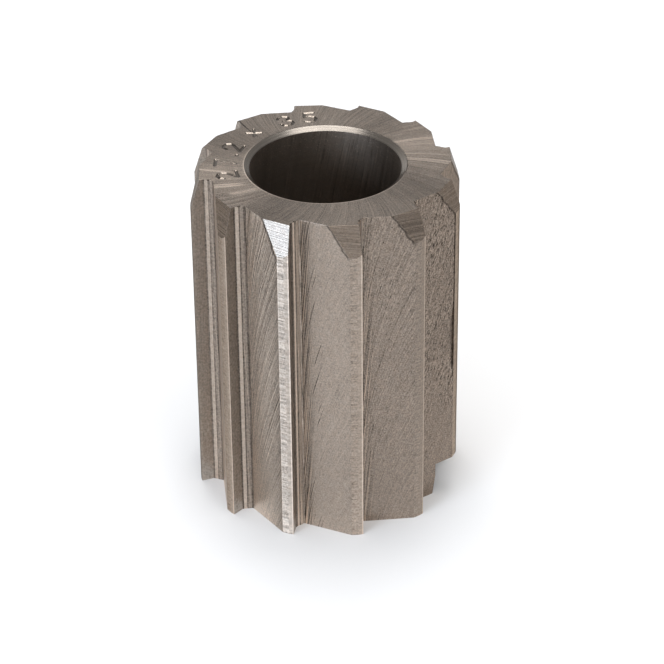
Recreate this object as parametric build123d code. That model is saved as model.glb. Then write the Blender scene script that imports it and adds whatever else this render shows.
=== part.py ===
from build123d import *
import math
import os

# A shell-type reamer cutter for a bicycle seat tube: one hardened steel
# cylinder with straight teeth around the outside, a plain bore for the
# arbor of its handle, and a drive slot across its underside.
# Millimetres and degrees.  +Z is the cutter's axis, z = 0 is the underside,
# +X goes out through the cutting edge above one end of the drive slot.

# ---- driving dimensions ----
CUT_D = 27.2            # diameter over the cutting edges
LENGTH = 35.4           # underside to top face
TEETH = 12              # equally spaced, straight, parallel to the axis

MARGIN_DEG = 2.05       # width of the circular margin behind each edge
LAND_DEG = 4.98         # margin and relieved land together
FLAT_DIST = 11.234      # distance from the axis to a tooth's back flat
FLAT_DEG = -38.757      # direction of the back flat's normal, from its edge
RAKE_DEG = 4.0          # hook of the cutting face
ROOT_FACE = 0.974       # the cutting face stops this far from the gullet's
ROOT_FLOOR = 0.657      # corner and the next flat starts this far from it,
                        # with a sloping wall between the two
ROOT_STEP = 0.035       # small step halfway down that wall
ROOT_R = 0.13           # radius at the foot of the wall

LEAD_DIST = 12.432      # distance from the axis to a lead-in facet, at the top
LEAD_DEG = -12.59       # direction of the facet's normal, from its edge
LEAD_SLOPE = 0.3050     # outward travel of the facet for each mm downwards

BORE_D = 15.0           # arbor bore
CHAMFER_W = 0.52        # chamfer at both mouths, measured across
CHAMFER_H = 0.38        # and along the axis

SLOT_W = 5.7            # drive slot across the underside, along X
SLOT_DEPTH = 3.5
SLOT_MOUTH_W = 6.26     # the slot opens out a little towards its mouth
SLOT_FLARE_H = 2.1      # height of that opened-out part

MARK_R = 9.85           # mean radius of the size marking on the top face
MARK_H = 2.0            # height of its figures
MARK_STROKE = 0.36      # width of an engraved stroke at the surface
MARK_DEPTH = 0.085      # depth of an engraved stroke
MARK_TAPER = 62.0       # slope of its sides

GOUGE_DIP = 14.0        # slope of the torn edge's floor, tooth at +X
DENT_R = 0.15           # small dents left at the mouths of some gullets

R = CUT_D / 2


def at(dist, deg):
    a = math.radians(deg)
    return (dist * math.cos(a), dist * math.sin(a))


def turned(p, deg):
    a = math.radians(deg)
    return (p[0] * math.cos(a) - p[1] * math.sin(a),
            p[0] * math.sin(a) + p[1] * math.cos(a))


def along(p, d, s):
    return (p[0] + d[0] * s, p[1] + d[1] * s)


# ---- one tooth, its cutting edge at angle 0 ----
pitch = 360.0 / TEETH
k = math.radians(RAKE_DEG)
tip = (R, 0.0)
margin_mid = at(R, -MARGIN_DEG / 2)
margin_back = at(R, -MARGIN_DEG)
back_r = FLAT_DIST / math.cos(math.radians(-LAND_DEG - FLAT_DEG))
land_back = at(back_r, -LAND_DEG)

# the gullet lies between this tooth's cutting face, which runs inwards along
# face_dir, and the next tooth's back flat, which runs outwards along floor_dir
face_dir = (-math.cos(k), -math.sin(k))
m = (-math.sin(k), math.cos(k))
n = at(1.0, pitch + FLAT_DEG)
floor_dir = (-n[1], n[0])
det = m[0] * n[1] - m[1] * n[0]
edge_c = m[0] * tip[0] + m[1] * tip[1]
corner = ((edge_c * n[1] - m[1] * FLAT_DIST) / det,
          (m[0] * FLAT_DIST - edge_c * n[0]) / det)
face_foot = along(corner, face_dir, -ROOT_FACE)
floor_foot = along(corner, floor_dir, ROOT_FLOOR)
wall_len = math.hypot(floor_foot[0] - face_foot[0], floor_foot[1] - face_foot[1])
wall_dir = ((floor_foot[0] - face_foot[0]) / wall_len,
            (floor_foot[1] - face_foot[1]) / wall_len)
wall_out = (wall_dir[1], -wall_dir[0])
step_in = along(face_foot, wall_dir, wall_len / 2)
step_out = along(step_in, wall_out, ROOT_STEP)

# round the foot of the wall, where it bends into the floor
turn = math.acos(wall_dir[0] * floor_dir[0] + wall_dir[1] * floor_dir[1])
trim = ROOT_R * math.tan(turn / 2)
bend = along(floor_foot, floor_dir, ROOT_STEP / math.sin(turn))
wall_foot = along(bend, wall_dir, -trim)
floor_start = along(bend, floor_dir, trim)
half = (floor_dir[0] - wall_dir[0], floor_dir[1] - wall_dir[1])
half_len = math.hypot(*half)
bend_mid = along(bend, (half[0] / half_len, half[1] / half_len),
                 ROOT_R / math.cos(turn / 2) - ROOT_R)

# ---- the whole section ----
edges = []
for i in range(TEETH):
    a = i * pitch
    start = turned(floor_start, a - pitch)
    edges.append(Line(start, turned(land_back, a)))
    edges.append(Line(turned(land_back, a), turned(margin_back, a)))
    edges.append(ThreePointArc(turned(margin_back, a), turned(margin_mid, a),
                               turned(tip, a)))
    edges.append(Line(turned(tip, a), turned(face_foot, a)))
    edges.append(Line(turned(face_foot, a), turned(step_in, a)))
    edges.append(Line(turned(step_in, a), turned(step_out, a)))
    edges.append(Line(turned(step_out, a), turned(wall_foot, a)))
    edges.append(ThreePointArc(turned(wall_foot, a), turned(bend_mid, a),
                               turned(floor_start, a)))
outline = Wire(edges)
cutter = extrude(Face(outline), amount=LENGTH)

# ---- lead-in: one relieved facet ground across the top of each tooth ----
beta = math.atan(LEAD_SLOPE)
for i in range(TEETH):
    deg = i * pitch + LEAD_DEG
    out = at(1.0, deg)
    normal = (out[0] * math.cos(beta), out[1] * math.cos(beta), math.sin(beta))
    side = (-out[1], out[0], 0.0)
    seat = Plane(origin=(out[0] * LEAD_DIST, out[1] * LEAD_DIST, LENGTH),
                 x_dir=side, z_dir=normal)
    cutter = cutter - seat * Box(16, 16, 6,
                                 align=(Align.CENTER, Align.CENTER, Align.MIN))

# ---- bore, chamfered at both mouths ----
bore_r = BORE_D / 2
chamfer_run = CHAMFER_W / CHAMFER_H
wide = bore_r + CHAMFER_W + chamfer_run
bore_half = Polyline(
    (0, 0, -1), (wide, 0, -1),
    (bore_r, 0, CHAMFER_H), (bore_r, 0, LENGTH - CHAMFER_H),
    (wide, 0, LENGTH + 1), (0, 0, LENGTH + 1),
    close=True)
cutter = cutter - revolve(Face(Wire(bore_half.edges())), Axis.Z)

# ---- drive slot across the underside, along X ----
hw = SLOT_W / 2
mw = SLOT_MOUTH_W / 2
grow = (mw - hw) / SLOT_FLARE_H
slot_end = Polyline(
    (-R - 2, -mw - grow, -1), (-R - 2, -hw, SLOT_FLARE_H),
    (-R - 2, -hw, SLOT_DEPTH), (-R - 2, hw, SLOT_DEPTH),
    (-R - 2, hw, SLOT_FLARE_H), (-R - 2, mw + grow, -1),
    close=True)
cutter = cutter - extrude(Face(Wire(slot_end.edges())), amount=2 * R + 4,
                          dir=(1, 0, 0))

# ---- size marking: diameter by length, plain engraved figures ----
FIGURES = {
    "2": [[(.02, .72), (.10, .91), (.31, 1.0), (.52, .90), (.60, .71),
           (.50, .50), (.02, 0), (.62, 0)]],
    "3": [[(.02, .82), (.15, .97), (.36, 1.0), (.55, .88), (.56, .68),
           (.40, .54), (.24, .52)],
          [(.40, .54), (.60, .40), (.62, .20), (.48, .03), (.24, 0),
           (.06, .08), (0, .24)]],
    "5": [[(.56, 1.0), (.10, 1.0), (.05, .56), (.30, .64), (.52, .54),
           (.61, .32), (.50, .08), (.26, 0), (.03, .10)]],
    "7": [[(0, 1.0), (.62, 1.0), (.22, 0)]],
    "x": [[(.05, .15), (.57, .67)], [(.05, .67), (.57, .15)]],
    ".": [[(.28, .04), (.34, .04)]],
}
# each figure and its angle about the axis; its top points outwards
MARKING = [("2", 208.5), ("7", 193.5), (".", 183.5), ("2", 174.5),
           ("x", 153.0), ("3", 129.5), ("5", 114.5)]

for name, deg in MARKING:
    up = at(1.0, deg)
    right = (up[1], -up[0])
    for path in FIGURES[name]:
        pts = []
        for u, v in path:
            du = (u - .31) * MARK_H
            dv = (v - .5) * MARK_H
            pts.append((up[0] * (MARK_R + dv) + right[0] * du,
                        up[1] * (MARK_R + dv) + right[1] * du))
        for p, q in zip(pts[:-1], pts[1:]):
            run = math.hypot(q[0] - p[0], q[1] - p[1])
            seat = Plane(origin=((p[0] + q[0]) / 2, (p[1] + q[1]) / 2, LENGTH),
                         x_dir=(q[0] - p[0], q[1] - p[1], 0), z_dir=(0, 0, -1))
            stroke = extrude(SlotCenterToCenter(run, MARK_STROKE),
                             amount=MARK_DEPTH, taper=MARK_TAPER)
            cutter = cutter - seat * stroke

# ---- damage: a torn edge along the back flat of the tooth at +X ----
flat_out = at(1.0, FLAT_DEG)
flat_side = (-flat_out[1], flat_out[0])
flat_seat = Plane(origin=(flat_out[0] * FLAT_DIST, flat_out[1] * FLAT_DIST, 0),
                  x_dir=(flat_side[0], flat_side[1], 0),
                  z_dir=(flat_out[0], flat_out[1], 0))
# its outline on the flat: distance from the flat's middle line, and height
GOUGE = [(7.41, 32.1), (7.43, 29.6), (7.40, 27.5), (7.42, 25.0), (7.38, 23.2),
         (7.38, 22.0), (7.13, 20.7), (6.96, 20.0), (6.99, 17.9), (7.22, 17.4),
         (7.29, 16.8), (7.10, 16.5), (7.24, 15.9), (7.37, 14.9), (7.45, 14.8),
         (7.46, 20.0), (7.46, 32.1)]
torn = flat_seat * extrude(Face(Wire(Polyline(*GOUGE, close=True).edges())),
                           amount=0.5, both=True)
# its floor dips towards the land
dip_out = at(1.0, FLAT_DEG + GOUGE_DIP)
dip_origin = (flat_out[0] * FLAT_DIST + flat_side[0] * 6.93,
              flat_out[1] * FLAT_DIST + flat_side[1] * 6.93, 22)
dip_seat = Plane(origin=dip_origin, x_dir=(-dip_out[1], dip_out[0], 0),
                 z_dir=(dip_out[0], dip_out[1], 0))
cutter = cutter - (torn & (dip_seat * Box(6, 40, 3, align=(Align.CENTER, Align.CENTER,
                                                            Align.MIN))))

# ---- damage: dents at the mouths of some gullets and on the bore's chamfer ----
DENTS = [(*turned(step_in, i * pitch), LENGTH + 0.03, DENT_R) for i in (-5, -4, -3, -2)]
DENTS += [(7.95, 0.35, LENGTH - 0.03, DENT_R), (7.66, -0.02, LENGTH - 0.28, 0.12)]
for x, y, z, r in DENTS:
    cutter = cutter - Pos(x, y, z) * Sphere(r)

solid = cutter.solids()[0]
solid.label = "reamer_cutter"

os.makedirs("parts", exist_ok=True)
export_step(solid, "parts/reamer_cutter.step")
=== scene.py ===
import math
import bpy
from mathutils import Matrix, Vector

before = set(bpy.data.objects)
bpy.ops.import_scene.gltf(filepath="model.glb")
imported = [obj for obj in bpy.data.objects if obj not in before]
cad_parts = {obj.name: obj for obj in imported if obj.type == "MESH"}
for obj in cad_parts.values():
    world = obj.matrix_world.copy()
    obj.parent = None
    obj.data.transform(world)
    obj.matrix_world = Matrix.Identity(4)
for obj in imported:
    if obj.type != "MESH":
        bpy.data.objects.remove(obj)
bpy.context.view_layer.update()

scene = bpy.context.scene

# Millimetres, as in the CAD.
R = 13.6
LENGTH = 35.4
BORE_R = 7.5
LAND_DEG = 4.98
FLAT_DEG = -38.757
LEAD_DEG = -12.59
RELIEF_DEG = -10.48
SLOT_DEPTH = 3.5
MARK_DEPTH = 0.085

# The photograph looks at the cutter from 15.437 degrees to the right of -Y.
TURN = math.radians(15.437)


def turned(x, y, z):
    """A point or direction of the photograph's frame (X right, Y away) in the CAD's."""
    c, s = math.cos(TURN), math.sin(TURN)
    return Vector((x * c - y * s, x * s + y * c, z))


# ---------------------------------------------------------------- camera
el, roll = math.radians(31.936), math.radians(-0.6122)
fwd = Vector((0, math.cos(el), -math.sin(el)))
right0 = Vector((1, 0, 0))
up0 = Vector((0, math.sin(el), math.cos(el)))
rvec = right0 * math.cos(roll) + up0 * math.sin(roll)
uvec = up0 * math.cos(roll) - right0 * math.sin(roll)
eye = Vector((0.0345, 0, 1.1664)) * 0.0136 - fwd * (20.9149 * 0.0136)
cols = [turned(*rvec), turned(*uvec), -turned(*fwd)]
eye = turned(*eye)
cam_data = bpy.data.cameras.new("camera")
cam_data.sensor_width = 36
cam_data.sensor_fit = "HORIZONTAL"
cam_data.lens = 2789.9657 * 36 / 664
cam_data.clip_start = 0.005
cam_data.clip_end = 50
cam = bpy.data.objects.new("camera", cam_data)
scene.collection.objects.link(cam)
cam.matrix_world = Matrix((
    (cols[0].x, cols[1].x, cols[2].x, eye.x),
    (cols[0].y, cols[1].y, cols[2].y, eye.y),
    (cols[0].z, cols[1].z, cols[2].z, eye.z),
    (0, 0, 0, 1)))
scene.camera = cam

scene.view_settings.view_transform = "Standard"
scene.view_settings.look = "None"
scene.view_settings.exposure = 0
scene.view_settings.gamma = 1


# ---------------------------------------------------------------- node maths
class Val:
    """A float on its way through a node tree, so that formulas read as formulas."""

    def __init__(self, tree, sock):
        self.tree, self.sock = tree, sock

    def _op(self, op, *others, clamp=False):
        n = self.tree.nodes.new("ShaderNodeMath")
        n.operation = op
        n.use_clamp = clamp
        for i, v in enumerate((self,) + others):
            if isinstance(v, Val):
                self.tree.links.new(v.sock, n.inputs[i])
            else:
                n.inputs[i].default_value = v
        return Val(self.tree, n.outputs[0])

    def __add__(self, o): return self._op("ADD", o)
    def __sub__(self, o): return self._op("SUBTRACT", o)
    def __mul__(self, o): return self._op("MULTIPLY", o)
    def __truediv__(self, o): return self._op("DIVIDE", o)
    def __pow__(self, o): return self._op("POWER", o)
    def __neg__(self): return self._op("MULTIPLY", -1.0)
    def sin(self): return self._op("SINE")
    def cos(self): return self._op("COSINE")
    def sqrt(self): return self._op("SQRT")
    def abs(self): return self._op("ABSOLUTE")
    def floor(self): return self._op("FLOOR")
    def ceil(self): return self._op("CEIL")
    def fract(self): return self._op("FRACT")
    def atan2(self, o): return self._op("ARCTAN2", o)
    def max(self, o): return self._op("MAXIMUM", o)
    def min(self, o): return self._op("MINIMUM", o)
    def below(self, o): return self._op("LESS_THAN", o)
    def above(self, o): return self._op("GREATER_THAN", o)
    def clamp(self): return self._op("MULTIPLY", 1.0, clamp=True)

    def ramp(self, lo, hi):
        """0 below lo, 1 above hi, smooth between (lo may be above hi)."""
        n = self.tree.nodes.new("ShaderNodeMapRange")
        n.interpolation_type = "SMOOTHSTEP"
        n.clamp = True
        self.tree.links.new(self.sock, n.inputs[0])
        a, b, c, d = (lo, hi, 0.0, 1.0) if lo < hi else (hi, lo, 1.0, 0.0)
        n.inputs[1].default_value = a
        n.inputs[2].default_value = b
        n.inputs[3].default_value = c
        n.inputs[4].default_value = d
        return Val(self.tree, n.outputs[0])


class Shade:
    """One material under construction."""

    def __init__(self, name):
        self.mat = bpy.data.materials.new(name)
        self.mat.use_nodes = True
        self.tree = self.mat.node_tree
        self.tree.nodes.clear()
        self.out = self.tree.nodes.new("ShaderNodeOutputMaterial")
        self.bsdf = self.tree.nodes.new("ShaderNodeBsdfPrincipled")
        self.tree.links.new(self.bsdf.outputs[0], self.out.inputs[0])
        tc = self.tree.nodes.new("ShaderNodeTexCoord")
        sep = self.tree.nodes.new("ShaderNodeSeparateXYZ")
        self.tree.links.new(tc.outputs["Object"], sep.inputs[0])
        self.x, self.y, self.z = (Val(self.tree, sep.outputs[i]) * 1000.0 for i in range(3))

    def vec(self, x, y=0.0, z=0.0):
        n = self.tree.nodes.new("ShaderNodeCombineXYZ")
        for i, v in enumerate((x, y, z)):
            if isinstance(v, Val):
                self.tree.links.new(v.sock, n.inputs[i])
            else:
                n.inputs[i].default_value = v
        return n.outputs[0]

    def noise(self, vec, scale=1.0, detail=2.0, rough=0.5, w=None):
        n = self.tree.nodes.new("ShaderNodeTexNoise")
        n.noise_dimensions = "3D" if w is None else "4D"
        self.tree.links.new(vec, n.inputs["Vector"])
        if w is not None:
            if isinstance(w, Val):
                self.tree.links.new(w.sock, n.inputs["W"])
            else:
                n.inputs["W"].default_value = w
        n.inputs["Scale"].default_value = scale
        n.inputs["Detail"].default_value = detail
        n.inputs["Roughness"].default_value = rough
        return Val(self.tree, n.outputs[0])

    def cells(self, vec, scale=1.0, w=None):
        """Distance to the nearest of randomly strewn points."""
        n = self.tree.nodes.new("ShaderNodeTexVoronoi")
        n.feature = "F1"
        self.tree.links.new(vec, n.inputs["Vector"])
        n.inputs["Scale"].default_value = scale
        return Val(self.tree, n.outputs["Distance"])

    def mix(self, a, b, t):
        """Colours a to b; each is a tuple or a socket."""
        n = self.tree.nodes.new("ShaderNodeMix")
        n.data_type = "RGBA"
        if isinstance(t, Val):
            self.tree.links.new(t.sock, n.inputs[0])
        else:
            n.inputs[0].default_value = t
        for i, c in ((6, a), (7, b)):
            if isinstance(c, tuple):
                n.inputs[i].default_value = (*c, 1)
            else:
                self.tree.links.new(c, n.inputs[i])
        return n.outputs[2]

    def bevel(self, radius_mm, samples=6):
        n = self.tree.nodes.new("ShaderNodeBevel")
        n.samples = samples
        n.inputs[0].default_value = radius_mm / 1000
        return n.outputs[0]

    def bump(self, height, depth_mm, normal=None, strength=1.0):
        n = self.tree.nodes.new("ShaderNodeBump")
        n.inputs["Strength"].default_value = strength
        n.inputs["Distance"].default_value = depth_mm / 1000
        self.tree.links.new(height.sock, n.inputs["Height"])
        if normal is not None:
            self.tree.links.new(normal, n.inputs["Normal"])
        return n.outputs[0]

    def set(self, **kw):
        names = dict(color="Base Color", metallic="Metallic", rough="Roughness",
                     normal="Normal", aniso="Anisotropic", aniso_rot="Anisotropic Rotation",
                     tangent="Tangent", edge_tint="Specular Tint")
        for k, v in kw.items():
            s = self.bsdf.inputs[names[k]]
            if isinstance(v, Val):
                self.tree.links.new(v.sock, s)
            elif isinstance(v, tuple):
                s.default_value = (*v, 1)
            elif isinstance(v, (int, float)):
                s.default_value = v
            else:
                self.tree.links.new(v, s)
        return self

    def tooth(self):
        """Tooth number and the angle back from its cutting edge (0 to -30), in degrees."""
        a = self.y.atan2(self.x) * (180 / math.pi)
        k = (a / 30.0).ceil()
        return k, a - k * 30.0


WARM = (0.322, 0.250, 0.197)
COOL = (0.283, 0.252, 0.222)


def polar(s):
    r = (s.x * s.x + s.y * s.y).sqrt()
    a = s.y.atan2(s.x)
    return r, a


def around(s):
    """Tangent that runs round the axis."""
    t = s.tree.nodes.new("ShaderNodeTangent")
    t.direction_type = "RADIAL"
    t.axis = "Z"
    return t.outputs[0]


def steel(s, lum, hue=0.5):
    """The steel's colour times lum; hue runs from brownish (0) to grey (1), and drifts."""
    t = s.noise(s.vec(s.x, s.y, s.z), 1.8, 2.0, 0.6).ramp(0.30, 0.70) * 0.20 - 0.10
    n = s.tree.nodes.new("ShaderNodeVectorMath")
    n.operation = "SCALE"
    s.tree.links.new(s.mix(WARM, COOL, (t + hue).clamp()), n.inputs[0])
    s.tree.links.new(lum.max(0.08).min(2.8).sock, n.inputs["Scale"])
    return n.outputs[0]


def swing(v):
    """Noise, about -1 to 1."""
    return (v - 0.5) * 4.0


def lines(s, across, along, seed=0.0, detail=3.0, rough=0.6):
    """Grinding lines: noise drawn out along one direction."""
    return swing(s.noise(s.vec(across, along, seed), 1.0, detail, rough))


def strokes(s, across, along, seed, lo=0.38, hi=0.60, detail=2.0, rough=0.6):
    """Crisp parallel grinding strokes of finite length, about -1 to 1."""
    n = (swing(s.noise(s.vec(across, seed * 1.7 + 3.3, 0.0), 1.0, detail, rough)) * 1.7)
    return n.max(-1.0).min(1.0) * s.noise(s.vec(across * 0.55, along, seed + 4.7), 1.0, 1.0, 0.5).ramp(lo, hi)


def grain(s, size=0.10, stretch=1.0):
    """Fine grain of the steel."""
    return swing(s.noise(s.vec(s.x, s.y, s.z * stretch), 1.0 / size, 1.5, 0.6))


def tone(s, size=2.5, zs=0.4):
    """Slow change of shade over the surface."""
    return swing(s.noise(s.vec(s.x, s.y, s.z * zs), 1.0 / size, 3.0, 0.55))


def pits(s, u, v, w, per_mm=0.9, radius=0.060):
    """1 inside small strewn pits, 0 outside."""
    d = s.cells(s.vec(u * per_mm, v * per_mm, w), 1.0)
    some = s.noise(s.vec(u * 0.5, v * 0.5, w + 9.0), 1.0, 1.0, 0.5).ramp(0.50, 0.56)
    return d.ramp(radius * per_mm * 1.6, radius * per_mm * 0.6) * some


# How the teeth differ: partly in finish, each having come off the wheel by itself, and partly in painted
# light and shade, as the brightness rows stand in for how the light falls on each tooth. The twelve values of
# a row belong to the teeth from -150 to 180 degrees.
LOOK = {
    # back flat: grooved, streaked at its root, coarse, bright (partly painted light and shade), hue, brighter
    # towards its root (painted light)
    "grooved": [0.30, 0.50, 0.92, 0.07, 0.34, 0.30, 0.50, 0.26, 0.14, 0.42, 0.18, 0.36],
    "root": [0.40, 0.30, 0.05, 1.00, 0.90, 0.60, 0.45, 0.55, 0.90, 0.30, 0.80, 0.60],
    "coarse": [0.30, 0.32, 0.34, 0.10, 0.38, 0.85, 0.35, 0.50, 0.38, 0.36, 0.46, 0.30],
    "bright": [1.17, 1.56, 1.38, 1.12, 0.84, 0.68, 0.72, 0.90, 1.04, 0.93, 1.08, 0.98],
    "dug": [0.30, 0.20, 0.10, 1.00, 0.60, 0.10, 0.30, 0.20, 0.70, 0.20, 0.50, 0.20],
    "hue": [0.50, 0.55, 0.78, 0.62, 0.45, 0.28, 0.20, 0.50, 0.60, 0.40, 0.55, 0.50],
    "slope": [0.35, 0.42, 1.00, 0.00, 0.00, 0.00, 0.20, 0.10, 0.30, 0.15, 0.20, 0.30],
    # lead-in facet and land: bright (partly painted light and shade; spill lays the facet's painted highlight
    # or shade on the flat), banded
    "facet": [0.42, 0.58, 0.60, 0.86, 0.63, 0.68, 0.60, 0.70, 0.62, 0.75, 0.66, 0.70],
    "land": [0.55, 1.14, 1.36, 1.17, 0.91, 1.49, 0.85, 0.98, 1.05, 0.95, 1.00, 1.02],
    "spill": [0.60, 0.55, 2.00, 0.72, 0.60, 0.76, 0.80, 0.70, 0.72, 0.75, 0.65, 0.70],
    "band": [0.50, 0.40, 1.00, 0.45, 0.40, 0.50, 0.45, 0.60, 0.50, 0.70, 0.50, 0.60],
}


def look(s, k, name):
    """A tooth's own value."""
    n = s.tree.nodes.new("ShaderNodeValToRGB")
    n.color_ramp.interpolation = "CONSTANT"
    el = n.color_ramp.elements
    while len(el) < 12:
        el.new(0.5)
    for i, v in enumerate(LOOK[name]):
        el[i].position = i / 12
        el[i].color = (v / 2, v / 2, v / 2, 1)
    s.tree.links.new(((k + 5.5) / 12.0).sock, n.inputs[0])
    return Val(s.tree, n.outputs[0]) * 2.0


def painted_foot_light(s):
    """Painted light: the steel is made brighter near its foot."""
    return (s.z * (-1 / 4.5))._op("EXPONENT") * 0.60 + 0.92


# ---------------------------------------------------------------- materials
def make_top():
    s = Shade("ground_top")
    r, a = polar(s)
    # grinding lines are arcs through the axis, 38 mm across
    psi = a + (r / 38.0)._op("ARCSINE")
    fine = strokes(s, psi * 62.0, r * 0.45, 5.0, 0.25, 0.55)
    mid = strokes(s, psi * 20.0, r * 0.30, 9.0, 0.25, 0.55)
    cut = strokes(s, psi * 34.0, r * 0.55, 14.0, 0.50, 0.58, 1.0)
    g = grain(s, 0.11)
    # painted sheen: a few bundles of strokes lit up as highlights: direction, half width, reach from the axis
    painted_sheen = None
    for at, half, near, far in ((-2.47, 0.030, 9.6, 13.0), (-2.17, 0.045, 9.0, 12.8),
                                (-2.00, 0.040, 8.2, 11.0), (1.035, 0.030, 8.0, 12.0),
                                (0.585, 0.035, 8.0, 12.6)):
        one = (psi - at).abs().ramp(half, half * 0.5) * r.ramp(near - 0.5, near + 0.5)
        one = one * r.ramp(far + 0.5, far - 0.5)
        painted_sheen = one if painted_sheen is None else painted_sheen + one
    comb = strokes(s, psi * 90.0, r * 0.30, 21.0, 0.20, 0.40, 1.0).ramp(-0.1, 0.5)
    # one deep scratch, and the mouth of the bore: a painted highlight at the front and painted shade behind
    nick = (psi - 2.938).abs().ramp(0.009, 0.004) * r.ramp(8.8, 9.0) * r.ramp(12.9, 12.6)
    lit_side = (a + 1.75).cos().ramp(-0.35, 0.15)
    painted_rim_light_and_shade = (r - 8.07).abs().ramp(0.07, 0.035) * (lit_side * 1.15 - 0.45)
    # painted shade: two sectors of the ring are darkened
    painted_top_shade = (a + 2.08).cos().ramp(0.80, 0.98) * 0.22 + (a - 0.10).cos().ramp(0.86, 0.99) * 0.10
    lum = (fine * 0.22 + mid * 0.04 + g * 0.42 + tone(s) * 0.08 + cut.max(0.0) * 0.20
           + painted_sheen * (comb * 1.0 + 0.12) - nick * 0.55 + painted_rim_light_and_shade - painted_top_shade + 0.86)
    # painted light and shade: the ring is made brighter and darker by turns all round
    lum = lum * ((a - 2.57).cos() * 0.075 + (a * 2.0 + 2.51).cos() * 0.150 + 0.905)
    n = s.bump(fine * 0.15 + mid * 0.15 + g * 0.12 + cut * 0.2 - nick, 0.016, s.bevel(0.05))
    s.set(color=steel(s, lum, 0.56), metallic=1.0, rough=fine * 0.03 + 0.33, aniso=0.8,
          aniso_rot=0.958, tangent=around(s), normal=n)
    return s.mat


def lead_gap(s, r, af):
    """Distance in mm from a tooth's lead-in facet, measured across it."""
    c = ((af + (-LEAD_DEG)) * (math.pi / 180)).cos()
    return ((s.z - LENGTH) * (-0.305) + 12.432 - r * c) * 0.956


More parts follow.
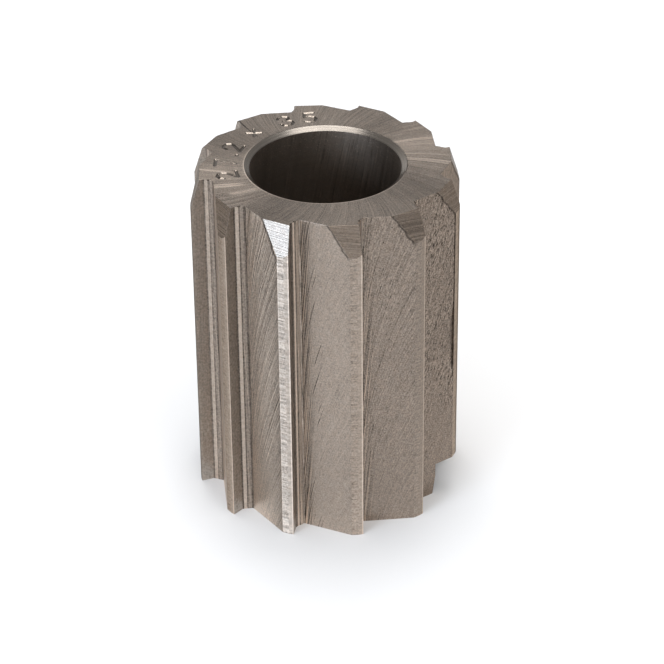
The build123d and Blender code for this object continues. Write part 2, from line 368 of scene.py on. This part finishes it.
def make_flat():
    s = Shade("ground_flat")
    k, af = s.tooth()
    r, _ = polar(s)
    u = r * ((af + (-FLAT_DEG)) * (math.pi / 180)).sin() - 2.1
    grooved, coarse, root = look(s, k, "grooved"), look(s, k, "coarse"), look(s, k, "root")
    rho = 50.0
    lead = ((u * (2 * rho) - u * u).max(0.0001)).sqrt()
    seed = k * 7.31
    sway = s.noise(s.vec(u * 0.5, s.z * 0.12, seed + 2.2), 1.0, 1.0, 0.5)
    arc = s.z - lead + sway * 0.7
    groove = strokes(s, arc * 2.1, s.z * 0.40, seed, 0.30, 0.48, 1.5, 0.65)
    broad = strokes(s, arc * 0.8, s.z * 0.25, seed + 1.3, 0.32, 0.55, 1.0, 0.6)
    fine = strokes(s, arc * 3.8, s.z * 0.60, seed + 3.1, 0.30, 0.52, 1.0)
    # the grinding fades out towards the foot
    upper = s.z.ramp(3.0, 16.0) * 0.60 + 0.40
    grooved = grooved * upper
    coarse = coarse * upper
    g = grain(s, 0.13, 0.9)
    rough = lines(s, u * 7.0 - s.z * 2.2, s.z * 1.6 + u * 0.4, seed + 6.0, 1.0, 0.6) * 1.8
    rough = rough.max(-1.0).min(1.0)
    patch = s.noise(s.vec(u * 0.35, s.z * 0.22, seed + 1.7), 1.0, 1.0, 0.5).ramp(0.38, 0.62)
    # dull, streaked strip along the root
    wave = s.noise(s.vec(u * 0.2, s.z * 0.5, seed + 8.1), 1.0, 2.0, 0.6)
    foot = (u + wave * 1.0).ramp(2.10, 0.95)
    streak = strokes(s, u * 8.5 - s.z * 0.80, s.z * 0.60, seed + 9.0, 0.25, 0.45, 1.0, 0.6)
    dull = foot * root
    # single long scratches out of the root, each a dark line beside a light one
    slot = arc * 0.75
    this = slot.floor()
    draw = s.noise(s.vec(this * 3.7 + seed, this * 1.9, seed), 1.0, 0.0, 0.5)
    off = (slot - this - 0.5 + (draw - 0.5) * 0.5) / 0.75
    some = s.noise(s.vec(this * 5.3, s.z * 0.16, seed + 5.0), 1.0, 1.0, 0.5).ramp(0.55, 0.60)
    some = some * (u + wave * 1.6).ramp(3.4, 2.4) * look(s, k, "dug")
    dark = off.abs().ramp(0.24, 0.08) * some
    light = (off + 0.28).abs().ramp(0.17, 0.06) * some
    hole = pits(s, u, s.z, seed)
    nick = lines(s, s.z * 4.0, u * 4.0, seed, 1.0, 0.5)
    # the facet's outline wanders a little over the flat, with a thin dark rim
    edge = lead_gap(s, r, af) + lines(s, s.z * 0.9, k * 4.1, 2.0, 2.0, 0.55) * 0.09 - 0.04
    # painted highlight and shade: where the facet's outline wanders over the flat, the facet's lit or shaded
    # look is laid on it
    spill = edge.ramp(0.03, -0.03)
    rag = (edge - 0.03).abs().ramp(0.07, 0.02) * u.ramp(5.34, 5.14)
    deep = (edge - 0.09).abs().ramp(0.12, 0.04) * (k + 3.0).abs().below(0.5)
    # the tooth with the torn edge is ragged all the way down that edge
    notch = s.z.ramp(14.4, 15.2) * s.z.ramp(21.5, 20.0) * 0.22
    torn = (u + nick * 0.05 + notch).ramp(5.20, 5.30) * k.abs().below(0.5) * s.z.ramp(12.0, 15.0)
    tick = strokes(s, s.z * 3.4, u * 0.4, k * 3.1 + 7.0, 0.35, 0.55, 1.0).ramp(0.20, 0.80)
    tick = tick * u.ramp(4.85, 5.30) * (look(s, k, "band") * -1.0 + 1.15)
    lum = ((groove * (grooved * 0.48 + 0.03) + broad * grooved * 0.08 + fine * (grooved * 0.26 + 0.06)
            + g * (coarse * 0.50 + 0.26) + rough * coarse * (patch * 0.42 + coarse * 0.24) + tone(s) * 0.04
            + streak * (dull * 0.50 + foot * 0.12) - dull * 0.15 + u.ramp(0.85, 0.25) * root * 0.30
            - dark * 0.70 + light * 0.28 - hole * 0.75 - tick * 0.26 - torn * 0.75
            # painted shade: the flat is darkened deepest in the gullet, where u is below 0.44
            - u.ramp(0.44, 0.30) * 0.40 + 1.0) * (rag * -0.62 + 1.0) * (deep * -0.50 + 1.0)
           # painted light and shade: the spill, bright and slope rows stand partly for how the light falls on
           # each tooth
           * (spill * (look(s, k, "spill") - 1.0) + 1.0) * look(s, k, "bright") * ((u * -0.19 + 0.676) * look(s, k, "slope") + 1.0) * painted_foot_light(s))
    n = s.bump(groove * grooved * 0.6 + broad * grooved * 0.6 + fine * grooved * 0.2
               + streak * dull * 0.4 + rough * coarse * patch * 0.12 + g * 0.12 - dark * 0.5 - hole
               - rag * 0.6, 0.016, s.bevel(0.05))
    hue = look(s, k, "hue") - streak.max(0.0) * dull * 0.5
    s.set(color=steel(s, lum, hue), metallic=1.0, rough=fine * 0.03 + 0.31,
          edge_tint=(0.70, 0.66, 0.62), aniso=0.6, tangent=around(s), normal=n)
    return s.mat


def make_land(name, margin):
    s = Shade(name)
    k, af = s.tooth()
    g = grain(s, 0.18)
    wave = lines(s, s.z * 2.2, k * 5.0, 3.0, 2.0, 0.6)
    if margin:
        line = strokes(s, s.z * 3.0, af * 0.25, k * 3.1, 0.20, 0.45, 2.0, 0.7) * 0.20
        # painted highlight: in the margin, mark brightens the land along its cutting edge
        mark = (af + wave * 0.10).ramp(-0.62, -0.30) * 0.70
    else:
        line = strokes(s, s.z * 6.0, af * 0.20, k * 3.1, 0.05, 0.25, 1.0, 0.5) * 0.26
        tick = strokes(s, s.z * 4.0, af * 0.2, k * 3.1 + 7.0, 0.35, 0.55, 1.0).ramp(0.10, 0.70)
        mark = tick * af.ramp(-3.4, -4.6) * (look(s, k, "band") * 0.30 - 0.36)
        mark = mark + (af + wave * 0.15).ramp(-4.45, -4.75) * (look(s, k, "band") - 0.6).max(0.0) * 0.6
    band = look(s, k, "band")
    # the land row is partly painted light and shade per tooth
    lum = (line * (band * 0.8 + 0.2) + g * (0.22 if margin else 0.32) + mark + 1.0) * look(s, k, "land")
    lum = lum * painted_foot_light(s)
    if margin:
        lum = lum * (k.abs().below(0.5) * -0.50 + 1.04)
    n = s.bump(line + g * 0.15, 0.008, s.bevel(0.035))
    s.set(color=steel(s, lum, band * 0.6 + 0.25), metallic=1.0, rough=line * 0.08 + 0.30, aniso=0.85,
          aniso_rot=0.25, edge_tint=(0.40, 0.36, 0.32), tangent=around(s), normal=n)
    return s.mat


def make_facet():
    s = Shade("ground_facet")
    k, af = s.tooth()
    slope = s.noise(s.vec(k * 0.37, 1.3, 2.1), 1.0, 0.0, 0.5).ramp(0.45, 0.60) * 0.12
    line = strokes(s, s.z * 7.0 + af * slope * 1.5, af * 0.3, k * 3.1 + 2.0, 0.05, 0.25, 1.0, 0.5)
    g = grain(s, 0.18)
    # the facet row is partly painted light and shade per tooth
    lum = (line * 0.16 + g * 0.27 + 1.0) * look(s, k, "facet")
    n = s.bump(line * 0.35 + g * 0.1, 0.010, s.bevel(0.035))
    s.set(color=steel(s, lum, look(s, k, "band") * 1.1 - 0.15), metallic=1.0,
          rough=line * 0.03 + 0.26, aniso=0.6, edge_tint=(0.42, 0.38, 0.34), aniso_rot=0.25, tangent=around(s), normal=n)
    return s.mat


def make_face():
    s = Shade("ground_cutting_face")
    r, a = polar(s)
    dull = (a * (6 / math.pi) + 4.0).abs().below(0.5) * 0.13
    line = strokes(s, r * 6.0, s.z * 0.25, 1.0, 0.30, 0.55)
    g = grain(s, 0.20, 0.9)
    low = r.ramp(12.42, 12.32)
    lum = (line * 0.16 + g * 0.30 + tone(s) * 0.05 - low * 0.22 - dull + 1.10) * painted_foot_light(s)
    n = s.bump(line * 0.3 + g * 0.12, 0.015, s.bevel(0.05))
    s.set(color=steel(s, lum, 0.92), metallic=1.0, rough=line * 0.04 + 0.34, aniso=0.6,
          tangent=around(s), normal=n)
    return s.mat


def make_wall():
    s = Shade("milled_gullet_wall")
    r, a = polar(s)
    gap = (a * (6 / math.pi) + 0.5).floor()
    line = strokes(s, r * 5.0, s.z * 0.25, gap * 2.3 + 2.0, 0.25, 0.50)
    streak = strokes(s, r * 9.0 - s.z * 0.3, s.z * 0.50, gap * 2.3 + 9.0, 0.25, 0.45, 2.0, 0.7)
    g = grain(s, 0.20, 0.9)
    # outwards of the small step the wall is bright, with a dark upper edge, and inwards of it darker
    # and streaked down to its foot, where the corner is darkened with painted shade
    # painted light: the walls of the two gaps that face the light are made brighter
    lit_walls = (gap + 2.5).abs().ramp(1.2, 0.8)
    brim = lit_walls * 0.10
    depth = lit_walls * 0.80 + (gap + 4.0).abs().below(0.5) * 0.17 + 0.64
    bright = (r + brim + line * 0.012).ramp(12.24, 12.17) * r.ramp(11.90, 11.94)
    under = (r + brim).ramp(12.18, 12.25)
    seam = (r + line * 0.01 - 11.885).abs().ramp(0.06, 0.02)
    # painted shade: the corner at the wall's foot is darkened
    foot = (r + line * 0.02).ramp(11.57, 11.50)
    inner = r.ramp(11.90, 11.86)
    lum = (lit_walls * 0.66 + 0.90 + (bright * 0.75 - under * 0.70 - seam * 0.60 - foot * 0.36) * depth
           + line * 0.14 + g * 0.30 + streak * inner * depth * 0.42) * painted_foot_light(s)
    n = s.bump(line * 0.3 + streak * inner * 0.3 + g * 0.12, 0.012, s.bevel(0.04))
    s.set(color=steel(s, lum, 0.58), metallic=1.0, rough=line * 0.04 + 0.36, aniso=0.5,
          tangent=around(s), normal=n)
    return s.mat


def make_bore():
    s = Shade("bore_steel")
    r, a = polar(s)
    line = strokes(s, a * 60.0 + s.z * 1.5, s.z * 0.35, 6.0, 0.40, 0.60)
    ring = lines(s, a.cos() * 1.5, a.sin() * 1.5, s.z * 4.0, 3.0, 0.6)
    speck = s.noise(s.vec(s.x, s.y, s.z), 6.0, 2.0, 0.6).ramp(0.60, 0.70)
    speck = speck * s.z.ramp(LENGTH - 4.5, LENGTH - 1.0)
    g = grain(s, 0.14)
    # painted highlight: a brighter patch high on one side of the bore
    painted_bore_highlight = (a - 1.57).cos().ramp(0.84, 1.0) * s.z.ramp(LENGTH - 7.0, LENGTH - 1.5)
    col = steel(s, line * 0.10 + ring * 0.06 + speck * 0.8 + g * 0.12
                + painted_bore_highlight * (line * 0.3 + 0.35) + 1.00, 0.6)
    n = s.bump(line * 0.4 + ring * 0.2 + speck * 0.5, 0.006)
    s.set(color=col, metallic=1.0, rough=line * 0.05 + 0.44, normal=n)
    return s.mat


def make_chamfer():
    s = Shade("turned_chamfer")
    r, a = polar(s)
    ring = strokes(s, r * 9.0, a * 2.0, 3.0, 0.30, 0.55)
    g = grain(s, 0.20)
    wave = lines(s, a.cos() * 9.0, a.sin() * 9.0, 2.0, 2.0, 0.6)
    # painted shade: a dark line along the chamfer's inner edge
    painted_lip_shade = (r + wave * 0.015).ramp(7.60, 7.54)
    col = steel(s, ring * 0.10 + g * 0.07 - painted_lip_shade * 0.35 + 1.12, 1.05)
    n = s.bump(ring * 0.3 + g * 0.1, 0.008, s.bevel(0.04))
    s.set(color=col, metallic=1.0, rough=ring * 0.03 + 0.22, normal=n)
    return s.mat


def make_mark():
    s = Shade("engraving")
    g = grain(s, 0.12)
    s.set(color=steel(s, g * 0.25 + 0.55, 0.7), metallic=1.0, rough=g * 0.05 + 0.22,
          normal=s.bump(g, 0.004))
    return s.mat


def make_torn():
    s = Shade("torn_steel")
    g = grain(s, 0.10)
    line = strokes(s, s.z * 5.0, s.x * 0.5, 4.0, 0.20, 0.45)
    s.set(color=steel(s, g * 0.30 + line * 0.25 + 0.60, 0.1), metallic=1.0, rough=g * 0.06 + 0.45,
          normal=s.bump(g + line, 0.02))
    return s.mat


def make_dent():
    s = Shade("bruised_steel")
    g = grain(s, 0.10)
    s.set(color=steel(s, g * 0.08 + 0.30, 0.2), metallic=1.0, rough=g * 0.06 + 0.45,
          normal=s.bump(g, 0.01))
    return s.mat


def make_under():
    s = Shade("ground_underside")
    line = lines(s, s.x * 4.0, s.y * 0.4, s.z * 4.0, 4.0, 0.6)
    g = grain(s, 0.12)
    col = steel(s, line * 0.16 + g * 0.10 + tone(s) * 0.06 + 1.0)
    n = s.bump(line * 0.3, 0.010, s.bevel(0.05))
    s.set(color=col, metallic=1.0, rough=line * 0.03 + 0.32, normal=n)
    return s.mat


GROUPS = ["top", "flat", "margin", "relief", "facet", "face", "wall", "bore", "chamfer",
          "mark", "under", "torn", "dent"]
made = dict(top=make_top(), flat=make_flat(), margin=make_land("ground_margin", True),
            relief=make_land("ground_relief", False), facet=make_facet(), face=make_face(),
            wall=make_wall(), bore=make_bore(), chamfer=make_chamfer(), mark=make_mark(),
            under=make_under(), torn=make_torn(), dent=make_dent())


def fold(deg, period):
    """An angle brought to within half a period of zero."""
    return (deg + period / 2) % period - period / 2


def group_of(n, c):
    """The kind of surface from a face's unit normal and its centre in mm."""
    r = math.hypot(c[0], c[1])
    a = math.degrees(math.atan2(c[1], c[0]))
    k = round(a / 30)
    off = fold(math.degrees(math.atan2(n[1], n[0])) - 30 * k, 360)
    for x, y, z, reach in DENTS:
        if math.dist(c, (x, y, z)) < reach + 0.01 and abs(n[2]) < 0.9999:
            return "dent"
    if n[2] > 0.98:
        if c[2] > LENGTH - 0.05:
            return "top"
        return "mark" if c[2] > LENGTH - 1 else "under"
    if n[2] < -0.98:
        return "under"
    if r < BORE_R + 0.65 and n[0] * c[0] + n[1] * c[1] < -0.2 * r:
        return "chamfer" if abs(n[2]) > 0.4 else "bore"
    if c[2] > LENGTH - MARK_DEPTH - 0.02 and r < 11.3:
        return "mark"
    if n[2] > 0.1:
        return "facet" if abs(n[2] - 0.2917) < 0.02 else "torn"
    if c[2] < SLOT_DEPTH and abs(abs(n[1]) - 1) < 0.02 and abs(abs(c[1]) - 3) < 0.35:
        return "under"
    if r > 13.4 and abs(off - RELIEF_DEG) < 1:
        return "relief"
    if r > R - 0.02 and -4 < off < 2:
        return "margin"
    if abs(off - 94) < 4:
        return "face"
    if min(abs(off - FLAT_DEG), abs(off - FLAT_DEG - 30)) < 0.6:
        return "flat"
    if k == 0 and r > 13.2:
        return "torn"
    return "wall"


# hollows left by damage: centre and radius in mm
DENTS = [(11.878 * math.cos(math.radians(30 * i)) - 0.2008 * math.sin(math.radians(30 * i)),
          11.878 * math.sin(math.radians(30 * i)) + 0.2008 * math.cos(math.radians(30 * i)),
          LENGTH + 0.03, 0.15) for i in (-5, -4, -3, -2)]
DENTS += [(7.95, 0.35, LENGTH - 0.03, 0.15), (7.66, -0.02, LENGTH - 0.28, 0.12)]


cutter = bpy.data.objects["reamer_cutter"]
mesh = cutter.data
mesh.materials.clear()
for g in GROUPS:
    mesh.materials.append(made[g])
count = {g: 0 for g in GROUPS}
for p in mesh.polygons:
    g = group_of(p.normal, p.center * 1000)
    count[g] += 1
    p.material_index = GROUPS.index(g)
print("faces by group", count)


# ---------------------------------------------------------------- floor, world, lights
floor_mesh = bpy.data.meshes.new("floor")
floor_mesh.from_pydata([(-3, -3, 0), (3, -3, 0), (3, 3, 0), (-3, 3, 0)], [], [(0, 1, 2, 3)])
floor = bpy.data.objects.new("floor", floor_mesh)
scene.collection.objects.link(floor)
fs = Shade("pale_floor")
fs.set(color=(0.816, 0.816, 0.819), rough=0.9)
floor_mesh.materials.append(fs.mat)

world = bpy.data.worlds.new("studio")
scene.world = world
world.use_nodes = True
wt = world.node_tree
wt.nodes.clear()
wout = wt.nodes.new("ShaderNodeOutputWorld")
bg = wt.nodes.new("ShaderNodeBackground")
bg.inputs[0].default_value = (1, 1, 1, 1)
wt.links.new(bg.outputs[0], wout.inputs[0])
# a dim even studio with broad soft glows: azimuth from the camera, elevation, tightness, strength
GLOWS = [(45, 35, 8, 1.11), (-150, 4, 10, 0.42), (150, 4, 10, 0.09), (-20, 4, 10, 0.53),
         (20, 4, 10, 0.23)]
wdir = wt.nodes.new("ShaderNodeTexCoord")
glow = None
for az, elev, tight, power in GLOWS:
    a, e = math.radians(az), math.radians(elev)
    dot = wt.nodes.new("ShaderNodeVectorMath")
    dot.operation = "DOT_PRODUCT"
    wt.links.new(wdir.outputs["Generated"], dot.inputs[0])
    dot.inputs[1].default_value = turned(math.sin(a) * math.cos(e), -math.cos(a) * math.cos(e),
                                         math.sin(e))
    lobe = ((Val(wt, dot.outputs["Value"]) - 1.0) * tight)._op("EXPONENT") * power
    glow = lobe + (0.29 if glow is None else glow)
wt.links.new(glow.sock, bg.inputs[1])


def softbox(name, az, elev, dist, w, h, radiance, aim=(0, 0, 0.02), tint=(1, 1, 1)):
    """A soft light, placed by azimuth from the photograph's camera (+ is right) and elevation."""
    a, e = math.radians(az), math.radians(elev)
    pos = turned(math.sin(a) * math.cos(e) * dist, -math.cos(a) * math.cos(e) * dist,
                 math.sin(e) * dist) + Vector(aim)
    data = bpy.data.lights.new(name, "AREA")
    data.shape = "RECTANGLE"
    data.size, data.size_y = w, h
    data.energy = radiance * w * h * math.pi
    data.color = tint
    ob = bpy.data.objects.new(name, data)
    scene.collection.objects.link(ob)
    ob.location = pos
    ob.rotation_mode = "QUATERNION"
    ob.rotation_quaternion = (pos - Vector(aim)).to_track_quat("Z", "Y")
    ob.visible_camera = False
    return ob


softbox("overhead", 0, 78, 0.55, 0.55, 0.45, 1.9)
softbox("top", 180, 73, 0.60, 0.30, 0.30, 6.8)
softbox("back", 180, 35, 0.50, 0.40, 0.30, 0.44)
softbox("key", -44, 8, 0.60, 0.28, 0.36, 9.2, tint=(0.87, 1.0, 1.18))

scene.view_layers[0].update()
